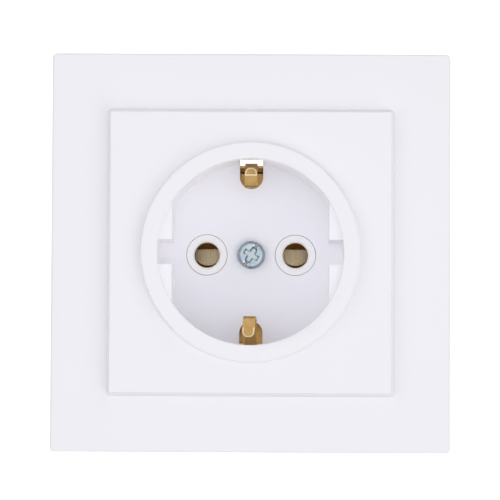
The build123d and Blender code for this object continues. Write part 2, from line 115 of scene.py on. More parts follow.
moulding = {"flowMm": 28, "flowShade": 0.985, "sheenSpread": 0.03, "poreBump": 0.25}
whitePlastic = {
    # ASA moulded against spark-eroded steel: cool white with a satin sheen and no sharp reflection
    "frame": {"colour": "#F9F8FB", "roughness": 0.42, "grainMm": 0.5, "grainHeight": 0.004},
    "plate": {"colour": "#F9F8FB", "roughness": 0.36, "grainMm": 0.6, "grainHeight": 0.003},
    # the same ASA in the well, painted lighter so that the white stays bright in the hollow
    "well": {"colour": "#FCFBFE", "roughness": 0.36, "grainMm": 0.6, "grainHeight": 0.003},
    # urea moulded dense and plain: a slightly warmer, drier white than the ASA
    "insert": {"colour": "#FEFDFA", "roughness": 0.45, "grainMm": 0.4, "grainHeight": 0.004},
    # polyamide moulded in an unpolished tool: grey-white and dull
    "housing": {"colour": "#DEDEDB", "roughness": 0.5, "grainMm": 0.35, "grainHeight": 0.008},
}


def makePlastic(name, look):
    # Injection-moulded plastic: an even colour, a soft sheen and a faint flow and pore texture
    material, tree, output = newMaterial(name)
    place = addNode(tree, "ShaderNodeTexCoord").outputs["Object"]
    pores = addNode(tree, "ShaderNodeTexNoise", {"Vector": place}, Scale=perMm(look["grainMm"]),
                    Detail=3.0, Roughness=0.6)
    flow = addNode(tree, "ShaderNodeTexNoise", {"Vector": place}, Scale=perMm(moulding["flowMm"]),
                   Detail=2.0)
    light = toLinear(look["colour"])
    dark = tuple(c * moulding["flowShade"] for c in light[:3]) + (1.0,)
    tint = addNode(tree, "ShaderNodeMix", {"Factor": flow.outputs["Fac"]}, data_type="RGBA")
    tint.inputs[6].default_value = dark
    tint.inputs[7].default_value = light
    sheen = addNode(tree, "ShaderNodeMapRange", {"Value": flow.outputs["Fac"]})
    sheen.inputs["To Min"].default_value = look["roughness"] - moulding["sheenSpread"]
    sheen.inputs["To Max"].default_value = look["roughness"] + moulding["sheenSpread"]
    bump = addNode(tree, "ShaderNodeBump", {"Height": pores.outputs["Fac"]},
                   Strength=moulding["poreBump"],
                   Distance=look["grainHeight"] * mm)
    shader = addNode(tree, "ShaderNodeBsdfPrincipled",
                     {"Base Color": tint.outputs[2], "Roughness": sheen.outputs["Result"],
                      "Normal": bump.outputs["Normal"]}, IOR=1.5)
    tree.links.new(shader.outputs[0], output.inputs[0])
    return material


rolling = {
    "across": (1.0, 0.12, 0.12),  # the lines run about eight times as far along the sheet as across it
    "cloudMm": 1.4,
    # painted shade: how far ambient occlusion looks, and where it turns the colour to the crevice colour
    "creviceMm": 0.35,
    "creviceRange": (0.45, 0.85),
    "sheenSpread": 0.08,
    "lineBump": 0.3,
    "lineMm": 0.01,
}
sheetMetal = {
    # every crevice colour below is painted shade, mixed in where other surfaces come near
    # rolled brass: golden, with soft stretched reflections and brown where light doesn't reach
    "brass": {"dark": "#BE9150", "light": "#DDBE84", "crevice": "#7A4A18", "roughness": 0.22,
              "scratchMm": 0.12},
    # rolled brass dulled by air: greyer and flatter
    "dullBrass": {"dark": "#B0A084", "light": "#C2B397", "crevice": "#7A4A20", "roughness": 0.28,
                  "scratchMm": 0.15, "metallic": 0.9},
    # spring-hard brass leaves: a deeper orange, painted in for the reflections the leaves throw on each
    # other
    "leafBrass": {"dark": "#D28E34", "light": "#E6B054", "crevice": "#B0641E", "roughness": 0.38,
                  "scratchMm": 0.15, "metallic": 0.75},
    # coined and cut brass: pale fresh metal, painted brighter as a highlight on the lines that catch the
    # light
    "cutBrass": {"dark": "#F0D69E", "light": "#FAE9BE", "crevice": "#B08A58", "roughness": 0.3,
                 "scratchMm": 0.12, "metallic": 0.55},
    # steel with blue-passivated zinc: bright, cold and slightly blue
    "zinc": {"dark": "#A3B8C3", "light": "#CBDAE2", "crevice": "#4E6468", "roughness": 0.2,
             "scratchMm": 0.10},
    # the same zinc on the turned head, painted darker on its face, with painted shade nearly black at the
    # turned edge
    "zincHead": {"dark": "#8496A1", "light": "#B4C2CB", "crevice": "#6C7C82", "roughness": 0.26,
                 "scratchMm": 0.10, "turnedEdge": "#36454D",
                 "edgeTurn": (-0.15, -0.5), "keptMm": (2.3, 2.1)},
    # edges round the mouth of the slot and the cross: painted highlights as white lines
    "zincEdge": {"dark": "#E6ECEC", "light": "#F8FAFA", "crevice": "#C8D0D0", "roughness": 0.3,
                 "scratchMm": 0.10},
    # floor of the sawn slot: painted shade, grey with a touch of violet
    "zincSlot": {"dark": "#7E7C86", "light": "#9A98A2", "crevice": "#74727A", "roughness": 0.35,
                 "scratchMm": 0.10},
    # floor of the pressed cross: painted reflection, pale green-grey
    "zincRecess": {"dark": "#96A4A8", "light": "#B8C4C8", "crevice": "#5E7676", "roughness": 0.3,
                   "scratchMm": 0.10},
    # galvanised sheet: cloudy light and darker greys
    "ringSteel": {"dark": "#9EA2A6", "light": "#C2C5C8", "crevice": "#6A6E72", "roughness": 0.35,
                  "scratchMm": 0.25},
    # rolled spring steel: dark neutral grey
    "springSteel": {"dark": "#7C7D80", "light": "#9B9C9E", "crevice": "#505154", "roughness": 0.35,
                    "scratchMm": 0.15},
}


def makeMetal(name, look):
    # Rolled or plated sheet: fine lines along the sheet break up the reflections, and painted shade darkens
    # the hollows
    material, tree, output = newMaterial(name)
    texture = addNode(tree, "ShaderNodeTexCoord")
    place = texture.outputs["Object"]
    stretched = addNode(tree, "ShaderNodeMapping", {"Vector": place})
    stretched.inputs["Scale"].default_value = rolling["across"]
    lines = addNode(tree, "ShaderNodeTexNoise", {"Vector": stretched.outputs["Vector"]},
                    Scale=perMm(look["scratchMm"]), Detail=4.0, Roughness=0.65)
    clouds = addNode(tree, "ShaderNodeTexNoise", {"Vector": place}, Scale=perMm(rolling["cloudMm"]),
                     Detail=3.0)
    tint = addNode(tree, "ShaderNodeMix", {"Factor": clouds.outputs["Fac"]}, data_type="RGBA")
    tint.inputs[6].default_value = toLinear(look["dark"])
    tint.inputs[7].default_value = toLinear(look["light"])
    # Painted shade: the crevice colour is mixed in where ambient occlusion finds other surfaces near
    hollow = addNode(tree, "ShaderNodeAmbientOcclusion", samples=8,
                     Distance=rolling["creviceMm"] * mm)
    edges = addNode(tree, "ShaderNodeMapRange", {"Value": hollow.outputs["AO"]},
                    interpolation_type="SMOOTHSTEP")
    edges.inputs["From Min"].default_value, edges.inputs["From Max"].default_value = rolling["creviceRange"]
    paintedShadeTint = addNode(tree, "ShaderNodeMix", {"Factor": edges.outputs["Result"]}, data_type="RGBA")
    paintedShadeTint.inputs[6].default_value = toLinear(look["crevice"])
    tree.links.new(tint.outputs[2], paintedShadeTint.inputs[7])
    if look.get("turnedEdge"):
        # Painted shade: outside the recess, a wall that turns away from the front is painted darker than
        # the face
        facing = addNode(tree, "ShaderNodeSeparateXYZ", {"0": texture.outputs["Normal"]})
        front = addNode(tree, "ShaderNodeMapRange",
                        {"Value": facing.outputs[1], "From Min": look["edgeTurn"][0],
                         "From Max": look["edgeTurn"][1]}, interpolation_type="SMOOTHSTEP")
        flat = addNode(tree, "ShaderNodeVectorMath", {"0": place, "1": (1, 0, 1)}, operation="MULTIPLY")
        reach = addNode(tree, "ShaderNodeVectorMath", {"0": flat.outputs[0]}, operation="LENGTH")
        middle = addNode(tree, "ShaderNodeMapRange",
                         {"Value": reach.outputs["Value"], "From Min": look["keptMm"][0] * mm,
                          "From Max": look["keptMm"][1] * mm})
        kept = addNode(tree, "ShaderNodeMath", {"0": front.outputs["Result"],
                                                "1": middle.outputs["Result"]}, operation="MAXIMUM")
        edged = addNode(tree, "ShaderNodeMix", {"Factor": kept.outputs[0],
                                                "7": paintedShadeTint.outputs[2]}, data_type="RGBA")
        edged.inputs[6].default_value = toLinear(look["turnedEdge"])
        paintedShadeTint = edged
    sheen = addNode(tree, "ShaderNodeMapRange", {"Value": lines.outputs["Fac"]})
    sheen.inputs["To Min"].default_value = look["roughness"] - rolling["sheenSpread"]
    sheen.inputs["To Max"].default_value = look["roughness"] + rolling["sheenSpread"]
    bump = addNode(tree, "ShaderNodeBump", {"Height": lines.outputs["Fac"]}, Strength=rolling["lineBump"],
                   Distance=rolling["lineMm"] * mm)
    shader = addNode(tree, "ShaderNodeBsdfPrincipled",
                     {"Base Color": paintedShadeTint.outputs[2], "Roughness": sheen.outputs["Result"],
                      "Normal": bump.outputs["Normal"]}, Metallic=look.get("metallic", 1.0))
    tree.links.new(shader.outputs[0], output.inputs[0])
    return material


materials = {
    "frame": makePlastic("mouldedAsaFrame", whitePlastic["frame"]),
    "plate": makePlastic("mouldedAsaPlate", whitePlastic["plate"]),
    "well": makePlastic("mouldedAsaWell", whitePlastic["well"]),
    "insert": makePlastic("mouldedUreaInsert", whitePlastic["insert"]),
    "housing": makePlastic("mouldedPolyamideHousing", whitePlastic["housing"]),
    "brass": makeMetal("rolledBrass", sheetMetal["brass"]),
    "dullBrass": makeMetal("tarnishedBrass", sheetMetal["dullBrass"]),
    "leafBrass": makeMetal("springHardBrass", sheetMetal["leafBrass"]),
    "cutBrass": makeMetal("coinedBrass", sheetMetal["cutBrass"]),
    "zinc": makeMetal("blueZincPlatedSteel", sheetMetal["zinc"]),
    "zincHead": makeMetal("turnedBlueZinc", sheetMetal["zincHead"]),
    "zincEdge": makeMetal("burnishedZincEdge", sheetMetal["zincEdge"]),
    "zincSlot": makeMetal("sawnSlotZinc", sheetMetal["zincSlot"]),
    "zincRecess": makeMetal("pressedRecessZinc", sheetMetal["zincRecess"]),
    "ringSteel": makeMetal("galvanisedSheetSteel", sheetMetal["ringSteel"]),
    "springSteel": makeMetal("rolledSpringSteel", sheetMetal["springSteel"]),
}
print("materials made:", len(materials))


# Finished copies of the CAD pieces: same solid, merged, with small moulded or stamped edges

facesFront = -0.7  # a face whose normal's Y is below this looks out of the socket
cutSlack = 0.001 * mm


def nodeBox(nodeName):
    corners = [Vector(corner) for corner in nodes[nodeName].bound_box]
    low = Vector([min(c[i] for c in corners) for i in range(3)])
    high = Vector([max(c[i] for c in corners) for i in range(3)])
    return low, high


screwLooks = {
    # axis: 0 is X, 1 is Y, 2 is Z; tipSide: which way along it the tip points
    "cover_screw": {"axis": 1, "tipSide": 1, "headMm": 1.7, "radiusMm": 1.5, "pitchMm": 0.5,
                    "recessMm": 1.3, "recessTaper": 0.86, "recessReachMm": 2.1, "recessSlackMm": 0.02,
                    "slotFloorMm": 0.6, "recessFloorMm": 1.1, "mouthMm": 0.7, "mouthEdgeMm": 0.25,
                    "mouthDeg": 50, "burnishMm": 0.19},
    "earth_screw": {"axis": 2, "tipSide": 1, "headMm": 1.9, "radiusMm": 1.75, "pitchMm": 0.6},
    "terminal_screw_left": {"axis": 0, "tipSide": 1, "headMm": 1.9, "radiusMm": 1.75, "pitchMm": 0.6},
    "terminal_screw_right": {"axis": 0, "tipSide": -1, "headMm": 1.9, "radiusMm": 1.75, "pitchMm": 0.6},
}


def underHead(nodeName):
    # Point on the screw's axis under its head, and the direction to its tip
    look = screwLooks[nodeName]
    low, high = nodeBox(nodeName)
    place = (low + high) / 2
    axis = look["axis"]
    outer = low[axis] if look["tipSide"] > 0 else high[axis]
    place[axis] = outer + look["tipSide"] * look["headMm"] * mm
    toTip = Vector((0, 0, 0))
    toTip[axis] = look["tipSide"]
    return place, toTip


def shapeScrew(work, nodeName):
    # Takes off the plain shank, where the thread comes. On the cover screw it also draws the recess
    # in towards its floor, gives its two floors painted shade and a painted reflection, and paints
    # highlights on the edges at their mouth
    look = screwLooks[nodeName]
    place, toTip = underHead(nodeName)
    everything = list(work.verts) + list(work.edges) + list(work.faces)
    cut = bmesh.ops.bisect_plane(work, geom=everything, plane_co=place, plane_no=toTip,
                                 clear_outer=True, dist=cutSlack)
    rim = [item for item in cut["geom_cut"] if isinstance(item, bmesh.types.BMEdge)]
    rim = [edge for edge in rim if edge.is_boundary]
    if rim:
        bmesh.ops.holes_fill(work, edges=rim)
    if "recessMm" not in look:
        return
    front = nodeBox(nodeName)[0].y
    for vert in work.verts:
        atFloor = abs(vert.co.y - front - look["recessMm"] * mm) < look["recessSlackMm"] * mm
        if atFloor and math.hypot(vert.co.x, vert.co.z) < look["recessReachMm"] * mm:
            vert.co.x *= look["recessTaper"]
            vert.co.z *= look["recessTaper"]
    # Painted light: the slot floor gets painted shade, the floor of the cross a painted reflection
    for face in work.faces:
        depth = face.calc_center_median().y - front
        if face.normal.y < facesFront and depth > look["slotFloorMm"] * mm:
            face.material_index = 3 if depth > look["recessFloorMm"] * mm else 2
    # Painted highlight: the sharp edges at the mouth are bevelled and given the near-white zincEdge colour
    mouth = [edge for edge in work.edges
             if edge.calc_length() > look["mouthEdgeMm"] * mm
             and edge.calc_face_angle(0) > math.radians(look["mouthDeg"])
             and all(vert.co.y < front + look["mouthMm"] * mm for vert in edge.verts)]
    bmesh.ops.bevel(work, geom=mouth, offset=look["burnishMm"] * mm, segments=1, profile=0.5,
                    affect="EDGES", clamp_overlap=False, material=1)
    print("screw head:", len(mouth), "edges with painted highlights")


tongueLook = {
    "borderMm": 0.34,
    "depthMm": 0.1,
    "skinDepthMm": -7.9,
    "skinTurn": 0.2,
    "startMm": {1: 16.15, -1: 15.6},
    "crease": {1: True, -1: False},
}


def coinTongues(work, nodeName):
    # The stamped border of both tongue tips lies a little lower and gets a painted highlight
    look = tongueLook
    for side in (-1, 1):
        start = look["startMm"][side] * mm
        everything = list(work.verts) + list(work.edges) + list(work.faces)
        bmesh.ops.bisect_plane(work, geom=everything, plane_co=(0, 0, side * start), plane_no=(0, 0, side),
                               dist=cutSlack)
        skin = [face for face in work.faces
                if face.calc_center_median().z * side > start and face.normal.y < facesFront
                and face.calc_center_median().y < look["skinDepthMm"] * mm
                and abs(face.normal.x) < look["skinTurn"]]
        inside = set(skin)
        edge = {vert for face in skin for vert in face.verts
                if any(other not in inside for other in vert.link_faces)}
        ring = bmesh.ops.inset_region(work, faces=skin, use_boundary=True, use_even_offset=True,
                                      thickness=look["borderMm"] * mm)
        for face in ring["faces"]:
            atStart = abs(face.calc_center_median().z) < start + look["borderMm"] * mm
            if look["crease"][side] or not atStart:
                face.material_index = 1
        for vert in edge:
            if abs(vert.co.z) > start + look["borderMm"] * mm:
                vert.co.y += look["depthMm"] * mm
        print("tongue tip", side, len(skin), "faces,", len(ring["faces"]), "in the border")


backPlate = {"sheetMm": 0.75}


def warmLeaves(work, nodeName):
    # The leaves get the deeper orange of their painted reflections, the plate behind the pin is dulled
    plateY = nodeBox(nodeName)[1].y - backPlate["sheetMm"] * mm
    for face in work.faces:
        if face.calc_center_median().y < plateY:
            face.material_index = 1


closeFits = {
    # Gaps as the eye sees them: none at the plate's foot, a clear line round the collars.
    # The rim's front stays this little behind the solid's, so that its rounded edge is inside too
    "skirtMm": 0.045,
    "skirtFromMm": -9.01,
    "skinMm": 0.6,
    "pinAxisMm": 9.5,
    "hole": {"fromMm": 4.45, "toMm": 4.7, "byMm": -0.15},
    "collar": {"fromMm": 4.4, "toMm": 4.6, "byMm": -0.19},
    "frontMm": 0.006,
    "wellMm": 19.6,
    "wellFrontMm": -13.3,
}


def moveRound(work, ring):
    # Moves the walls at this distance from a pin hole's axis out or in
    for vert in work.verts:
        axis = Vector((math.copysign(closeFits["pinAxisMm"] * mm, vert.co.x), vert.co.y, 0))
        away = vert.co - axis
        if ring["fromMm"] * mm < away.length < ring["toMm"] * mm:
            vert.co += away.normalized() * ring["byMm"] * mm


def fitPlate(work, nodeName):
    # The foot of the plate fills its gap, and the well gets the lighter ASA, painted light for the hollow
    moveRound(work, closeFits["hole"])
    low, high = nodeBox(nodeName)
    front = low.y + closeFits["frontMm"] * mm
    skin = high.x - closeFits["skinMm"] * mm
    wider = 1 + closeFits["skirtMm"] * mm / high.x
    for vert in work.verts:
        vert.co.y = max(vert.co.y, front)
        if vert.co.y > closeFits["skirtFromMm"] * mm and max(abs(vert.co.x), abs(vert.co.z)) > skin:
            vert.co.x *= wider
            vert.co.z *= wider
    for face in work.faces:
        reach = max(math.hypot(vert.co.x, vert.co.z) for vert in face.verts)
        if reach < closeFits["wellMm"] * mm and face.calc_center_median().y > closeFits["wellFrontMm"] * mm:
            face.material_index = 1


def fitCollars(work, nodeName):
    moveRound(work, closeFits["collar"])


edging = {"mergeMm": 0.0005, "flatDeg": 0.5, "segments": 2, "sharpDeg": 35}
finishing = {
    # piece, material, edge width in mm, record slot, shaping step, further materials
    "cover_frame": ("coverFrame", "frame", 0.03, "frame_plastic", None, ()),
    "centre_plate": ("centrePlate", "plate", 0.08, "plate_plastic", fitPlate, ("well",)),
    "contact_cover": ("contactCover", "insert", 0.08, "insert_plastic", fitCollars, ()),
    "base_housing": ("baseHousing", "housing", 0.15, "housing_plastic", None, ()),
    "support_ring": ("supportRing", "ringSteel", 0.1, "ring_steel", None, ()),
    "earth_bracket": ("earthBracket", "brass", 0.12, "brass", coinTongues, ("cutBrass",)),
    "cover_screw": ("coverScrew", "zincHead", 0.1, "zinc_steel", shapeScrew,
                    ("zincEdge", "zincSlot", "zincRecess")),
    "screw_bush": ("screwBush", "brass", 0.08, "brass", None, ()),
    "earth_clamp": ("earthClamp", "brass", 0.1, "brass", None, ()),
    "earth_screw": ("earthScrew", "zinc", 0.08, "zinc_steel", shapeScrew, ()),
    "earth_nut": ("earthNut", "zinc", 0.1, "zinc_steel", None, ()),
    "live_contact": ("liveContact", "dullBrass", 0.06, "contact_brass", warmLeaves, ("leafBrass",)),
    "contact_spring": ("contactSpring", "springSteel", 0.05, "spring_steel", None, ()),
    "terminal_clamp": ("terminalClamp", "brass", 0.08, "brass", None, ()),
    "terminal_screw": ("terminalScrew", "zinc", 0.08, "zinc_steel", shapeScrew, ()),
}


def finishedCopy(nodeName, pieceName, look, edgeMm, shape, otherLooks):
    mesh = nodes[nodeName].data.copy()
    piece = bpy.data.objects.new(pieceName, mesh)
    scene.collection.objects.link(piece)
    mesh.materials.clear()
    mesh.materials.append(materials[look])
    work = bmesh.new()
    work.from_mesh(mesh)
    bmesh.ops.remove_doubles(work, verts=work.verts, dist=edging["mergeMm"] * mm)
    bmesh.ops.dissolve_limit(work, angle_limit=math.radians(edging["flatDeg"]), verts=work.verts,
                             edges=work.edges)
    if shape:
        shape(work, nodeName)
    for face in work.faces:
        face.smooth = True
    work.to_mesh(mesh)
    work.free()
    for name in list(mesh.attributes.keys()):
        if name in ("custom_normal", "sharp_face"):
            mesh.attributes.remove(mesh.attributes[name])
    bevel = piece.modifiers.new("edges", "BEVEL")
    bevel.width = edgeMm * mm
    bevel.segments = edging["segments"]
    bevel.limit_method = "ANGLE"
    bevel.angle_limit = math.radians(edging["sharpDeg"])
    bevel.use_clamp_overlap = True
    bevel.harden_normals = True
    for otherLook in otherLooks:
        mesh.materials.append(materials[otherLook])
    # Painted highlight: the bevelled edges get the pale cut brass
    if "cutBrass" in otherLooks:
        bevel.material = 1
    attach(piece, "root")
    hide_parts(nodeName)


def finishAll():
    for nodeName in sorted(nodes):
        key = next((k for k in finishing if nodeName.startswith(k)), None)
        if key:
            pieceName, look, edgeMm, slotName, shape, otherLooks = finishing[key]
            suffix = nodeName[len(key):].title().replace("_", "")
            finishedCopy(nodeName, pieceName + suffix, look, edgeMm, shape, otherLooks)


finishAll()
print("pieces finished")


# Screw threads and tubular rivets, made with Geometry Nodes

def newShapeTree(name, sizes):
    tree = bpy.data.node_groups.new(name, "GeometryNodeTree")
    tree.interface.new_socket("Geometry", in_out="INPUT", socket_type="NodeSocketGeometry")
    for size in sizes:
        tree.interface.new_socket(size, in_out="INPUT", socket_type="NodeSocketFloat")
    tree.interface.new_socket("Material", in_out="INPUT", socket_type="NodeSocketMaterial")
    tree.interface.new_socket("Geometry", in_out="OUTPUT", socket_type="NodeSocketGeometry")
    return tree, addNode(tree, "NodeGroupInput").outputs


def endTree(tree, given, geometry):
    smooth = addNode(tree, "GeometryNodeSetShadeSmooth", {"Geometry": geometry})
    real = addNode(tree, "GeometryNodeRealizeInstances", {"Geometry": smooth.outputs[0]})
    painted = addNode(tree, "GeometryNodeSetMaterial",
                      {"Geometry": real.outputs[0], "Material": given["Material"]})
    addNode(tree, "NodeGroupOutput", {"0": painted.outputs[0]})


threadLook = {"depthShare": 0.61, "tipMm": 0.4, "rowsPerTurn": 8.0, "sides": 28}


def makeThreadTree():
    # A cylinder along Z whose radius follows a helix, drawn in at the tip
    tree, given = newShapeTree("screwThread", ["Radius", "Length", "Pitch", "Depth", "Tip"])
    turns = addNode(tree, "ShaderNodeMath", {"0": given["Length"], "1": given["Pitch"]}, operation="DIVIDE")
    rows = addNode(tree, "ShaderNodeMath", {"0": turns.outputs[0], "1": threadLook["rowsPerTurn"]},
                   operation="MULTIPLY")
    cylinder = addNode(tree, "GeometryNodeMeshCylinder",
                       {"Side Segments": rows.outputs[0], "Radius": given["Radius"],
                        "Depth": given["Length"]}, Vertices=threadLook["sides"])
    place = addNode(tree, "GeometryNodeInputPosition").outputs[0]
    parts = addNode(tree, "ShaderNodeSeparateXYZ", {"0": place}).outputs
    angle = addNode(tree, "ShaderNodeMath", {"0": parts[1], "1": parts[0]}, operation="ARCTAN2")
    share = addNode(tree, "ShaderNodeMath", {"0": angle.outputs[0], "1": 2 * math.pi}, operation="DIVIDE")
    climb = addNode(tree, "ShaderNodeMath", {"0": parts[2], "1": given["Pitch"]}, operation="DIVIDE")
    turn = addNode(tree, "ShaderNodeMath", {"0": climb.outputs[0], "1": share.outputs[0]},
                   operation="SUBTRACT")
    double = addNode(tree, "ShaderNodeMath", {"0": turn.outputs[0], "1": 2.0}, operation="MULTIPLY")
    groove = addNode(tree, "ShaderNodeMath", {"0": double.outputs[0], "1": 1.0}, operation="PINGPONG")
    cut = addNode(tree, "ShaderNodeMath", {"0": groove.outputs[0], "1": given["Depth"]},
                  operation="MULTIPLY")
    ridge = addNode(tree, "ShaderNodeMath", {"0": given["Radius"], "1": cut.outputs[0]},
                    operation="SUBTRACT")
    half = addNode(tree, "ShaderNodeMath", {"0": given["Length"], "1": 0.5}, operation="MULTIPLY")
    fromTip = addNode(tree, "ShaderNodeMath", {"0": parts[2], "1": half.outputs[0]}, operation="ADD")
    tipRadius = addNode(tree, "ShaderNodeMath", {"0": given["Radius"], "1": given["Tip"]},
                        operation="SUBTRACT")
    limit = addNode(tree, "ShaderNodeMath", {"0": fromTip.outputs[0], "1": tipRadius.outputs[0]},
                    operation="ADD")
    radius = addNode(tree, "ShaderNodeMath", {"0": ridge.outputs[0], "1": limit.outputs[0]},
                     operation="MINIMUM")
    scale = addNode(tree, "ShaderNodeMath", {"0": radius.outputs[0], "1": given["Radius"]},
                    operation="DIVIDE")
    scales = addNode(tree, "ShaderNodeCombineXYZ", {"0": scale.outputs[0], "1": scale.outputs[0], "2": 1.0})
    moved = addNode(tree, "ShaderNodeVectorMath", {"0": place, "1": scales.outputs[0]},
                    operation="MULTIPLY")
    shaped = addNode(tree, "GeometryNodeSetPosition",
                     {"Geometry": cylinder.outputs["Mesh"], "Position": moved.outputs[0]})
    endTree(tree, given, shaped.outputs[0])
    return tree


rivetLook = {"diameterMm": 2.5, "boreMm": 1.3, "headDiameterMm": 4.0, "headHeightMm": 0.8,
             "sides": 28, "rollSides": 12}


def makeRivetTree():
    # A tube with a rolled ring at each end, set on every point that comes in
    tree, given = newShapeTree("tubularRivet",
                               ["Diameter", "Bore", "Length", "Head Diameter", "Head Height"])
    wall = addNode(tree, "ShaderNodeMath", {"0": given["Diameter"], "1": given["Bore"]},
                   operation="SUBTRACT")
    halfWall = addNode(tree, "ShaderNodeMath", {"0": wall.outputs[0], "1": 0.5}, operation="MULTIPLY")
    across = addNode(tree, "ShaderNodeMath", {"0": given["Diameter"], "1": given["Bore"]},
                     operation="ADD")
    tubeRadius = addNode(tree, "ShaderNodeMath", {"0": across.outputs[0], "1": 0.25},
                         operation="MULTIPLY")
    tubePath = addNode(tree, "GeometryNodeCurvePrimitiveCircle", {"Radius": tubeRadius.outputs[0]},
                       Resolution=rivetLook["sides"])
    bodyLength = addNode(tree, "ShaderNodeMath", {"0": given["Length"], "1": given["Head Height"]},
                         operation="SUBTRACT")
    tubeSection = addNode(tree, "GeometryNodeCurvePrimitiveQuadrilateral",
                          {"Width": halfWall.outputs[0], "Height": bodyLength.outputs[0]})
    tube = addNode(tree, "GeometryNodeCurveToMesh",
                   {"Curve": tubePath.outputs[0], "Profile Curve": tubeSection.outputs[0]})
    headAcross = addNode(tree, "ShaderNodeMath", {"0": given["Head Diameter"], "1": given["Bore"]},
                         operation="ADD")
    headRadius = addNode(tree, "ShaderNodeMath", {"0": headAcross.outputs[0], "1": 0.25},
                         operation="MULTIPLY")
    headPath = addNode(tree, "GeometryNodeCurvePrimitiveCircle", {"Radius": headRadius.outputs[0]},
                       Resolution=rivetLook["sides"])
    ring = addNode(tree, "ShaderNodeMath", {"0": given["Head Diameter"], "1": given["Bore"]},
                   operation="SUBTRACT")
    ringHalf = addNode(tree, "ShaderNodeMath", {"0": ring.outputs[0], "1": 0.25}, operation="MULTIPLY")
    headHalf = addNode(tree, "ShaderNodeMath", {"0": given["Head Height"], "1": 0.5},
                       operation="MULTIPLY")
    flat = addNode(tree, "ShaderNodeCombineXYZ",
                   {"0": ringHalf.outputs[0], "1": headHalf.outputs[0], "2": 1.0})
    circle = addNode(tree, "GeometryNodeCurvePrimitiveCircle", Resolution=rivetLook["rollSides"],
                     Radius=1.0)
    headSection = addNode(tree, "GeometryNodeTransform",
                          {"Geometry": circle.outputs[0], "Scale": flat.outputs[0]})
    head = addNode(tree, "GeometryNodeCurveToMesh",
                   {"Curve": headPath.outputs[0], "Profile Curve": headSection.outputs[0]})
    far = addNode(tree, "ShaderNodeMath", {"0": bodyLength.outputs[0], "1": 0.5}, operation="MULTIPLY")
    near = addNode(tree, "ShaderNodeMath", {"0": bodyLength.outputs[0], "1": -0.5}, operation="MULTIPLY")
    upward = addNode(tree, "ShaderNodeCombineXYZ", {"2": far.outputs[0]})
    downward = addNode(tree, "ShaderNodeCombineXYZ", {"2": near.outputs[0]})
    headFar = addNode(tree, "GeometryNodeTransform",
                      {"Geometry": head.outputs[0], "Translation": upward.outputs[0]})
    headNear = addNode(tree, "GeometryNodeTransform",
                       {"Geometry": head.outputs[0], "Translation": downward.outputs[0]})
    rivet = addNode(tree, "GeometryNodeJoinGeometry")
    for shape in (tube, headFar, headNear):
        tree.links.new(shape.outputs[0], rivet.inputs[0])
    placed = addNode(tree, "GeometryNodeInstanceOnPoints",
                     {"Points": given["Geometry"], "Instance": rivet.outputs[0],
                      "Rotation": (math.pi / 2, 0, 0)})
    endTree(tree, given, placed.outputs[0])
    return tree


def runTree(tree, points, values):
    # The tree's result on these points as one plain mesh
    carrierMesh = bpy.data.meshes.new(tree.name + "Points")
    carrierMesh.from_pydata(points, [], [])
    carrier = bpy.data.objects.new(tree.name + "Carrier", carrierMesh)
    scene.collection.objects.link(carrier)
    modifier = carrier.modifiers.new(tree.name, "NODES")
    modifier.node_group = tree
    for socket in tree.interface.items_tree:
        if socket.in_out == "INPUT" and socket.name in values:
            modifier[socket.identifier] = values[socket.name]
    evaluated = carrier.evaluated_get(bpy.context.evaluated_depsgraph_get())
    mesh = bpy.data.meshes.new_from_object(evaluated)
    mesh.materials.clear()
    mesh.materials.append(values["Material"])
    mesh.polygons.foreach_set("material_index", [0] * len(mesh.polygons))
    carrier.modifiers.remove(modifier)
    bpy.data.objects.remove(carrier)
    return mesh


def makeThreads():
    # All four threads belong to the one body, so they become one mesh
    tree = makeThreadTree()
    work = bmesh.new()
    for nodeName, look in screwLooks.items():
        place, toTip = underHead(nodeName)
        low, high = nodeBox(nodeName)
        length = abs((high - low)[look["axis"]]) - look["headMm"] * mm
        mesh = runTree(tree, [(0, 0, 0)], {
            "Radius": look["radiusMm"] * mm, "Length": length, "Pitch": look["pitchMm"] * mm,
            "Depth": look["pitchMm"] * mm * threadLook["depthShare"], "Tip": threadLook["tipMm"] * mm,
            "Material": materials["zinc"]})
        turn = Vector((0, 0, -1)).rotation_difference(toTip).to_matrix().to_4x4()
        mesh.transform(Matrix.Translation(place + toTip * length / 2) @ turn)
        work.from_mesh(mesh)
    mesh = bpy.data.meshes.new("screwThreads")
    work.to_mesh(mesh)
    work.free()
    mesh.materials.append(materials["zinc"])
    return mesh


def makeRivets():
    rivetNodes = sorted(name for name in nodes if name.startswith("housing_rivet"))
    points = [(low + high) / 2 for low, high in map(nodeBox, rivetNodes)]
    low, high = nodeBox(rivetNodes[0])
    mesh = runTree(makeRivetTree(), points, {
        "Diameter": rivetLook["diameterMm"] * mm, "Bore": rivetLook["boreMm"] * mm,
        "Length": high.y - low.y, "Head Diameter": rivetLook["headDiameterMm"] * mm,
        "Head Height": rivetLook["headHeightMm"] * mm, "Material": materials["brass"]})
    return mesh, rivetNodes


def addShape(name, mesh, replaced=()):
    piece = bpy.data.objects.new(name, mesh)
    scene.collection.objects.link(piece)
    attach(piece, "root")
    if replaced:
        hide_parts(*replaced)
    print(name, len(mesh.vertices), "vertices")


addShape("screwThreads", makeThreads())
rivetMesh, rivetNodes = makeRivets()
addShape("housingRivets", rivetMesh, rivetNodes)
print("threads and rivets made")


# Floor, backdrop and light

